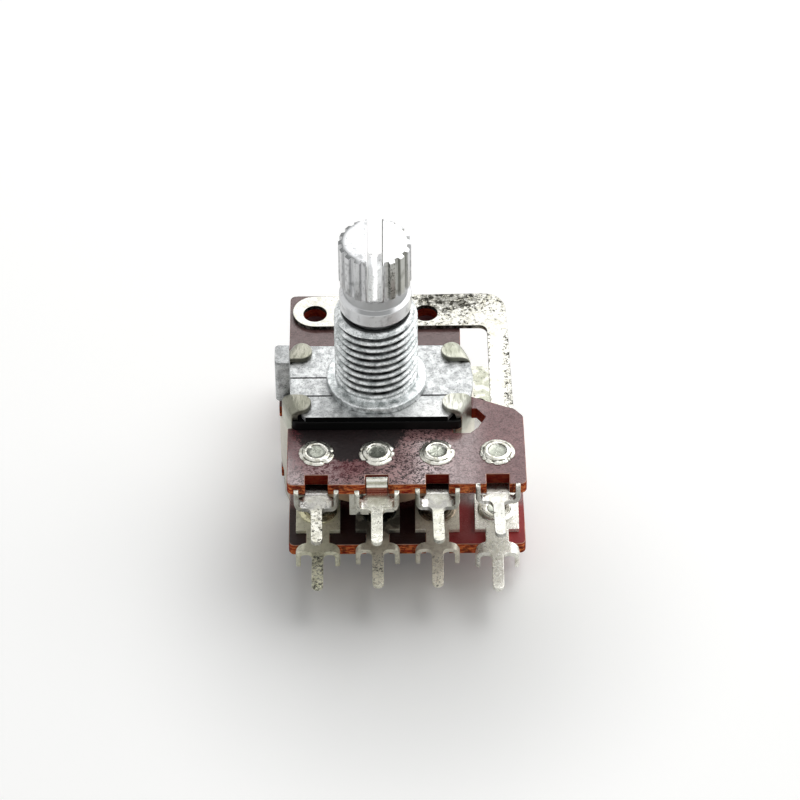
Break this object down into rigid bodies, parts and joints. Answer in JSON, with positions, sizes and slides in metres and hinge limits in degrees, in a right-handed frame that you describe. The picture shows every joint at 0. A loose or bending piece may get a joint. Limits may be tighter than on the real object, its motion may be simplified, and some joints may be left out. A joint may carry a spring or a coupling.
{
  "type": "rotary potentiometer",
  "caption": "Dual-gang rotary potentiometer with a knurled, slotted shaft, a threaded bushing and rows of solder pins along one side.",
  "frame": {"origin": "on the shaft axis at the panel seat, the top face of the bushing's collar", "axes": "+Z along the shaft towards its knurled end, -Y towards the terminals' pins, +X towards the wafers' ears"},
  "size_m": [0.0208, 0.0287, 0.0272],
  "materials": {
    "zinc": "satin",
    "shaft_metal": "bright",
    "tin": "satin",
    "nickel": "satin",
    "spring": "satin",
    "clip_steel": "satin",
    "phenolic": "gloss",
    "black_plastic": "matte",
    "carbon_ink": "matte",
    "silver_ink": "satin"
  },
  "bodies": {
    "body": {"threaded_bushing": "zinc", "front_plate": "zinc", "front_spacer": "black_plastic", "front_wafer": "phenolic", "front_track": "carbon_ink", "front_collector": "silver_ink", "front_lug_1": "tin", "front_lug_2": "tin", "front_lug_3": "tin", "front_strap": "tin", "front_eyelet_1": "tin", "front_eyelet_2": "tin", "front_eyelet_3": "tin", "front_eyelet_4": "tin", "body_shell": "nickel", "shield_disc": "nickel", "rear_wafer": "phenolic", "rear_track": "carbon_ink", "rear_collector": "silver_ink", "rear_lug_1": "tin", "rear_lug_2": "tin", "rear_lug_3": "tin", "rear_strap": "tin", "rear_eyelet_1": "tin", "rear_eyelet_2": "tin", "rear_eyelet_3": "tin", "rear_eyelet_4": "tin", "rear_spacer": "black_plastic", "rear_plate": "zinc"},
    "shaft": {"shaft": "shaft_metal", "retaining_ring": "clip_steel", "front_rotor": "black_plastic", "front_wiper": "spring", "rear_rotor": "black_plastic", "rear_wiper": "spring"}
  },
  "joints": [
    {"name": "shaft_turn", "type": "hinge", "parent": "body", "child": "shaft", "pos_m": [0, 0, 0], "axis": [0, 0, 1], "range_deg": [-150, 150]}
  ]
}
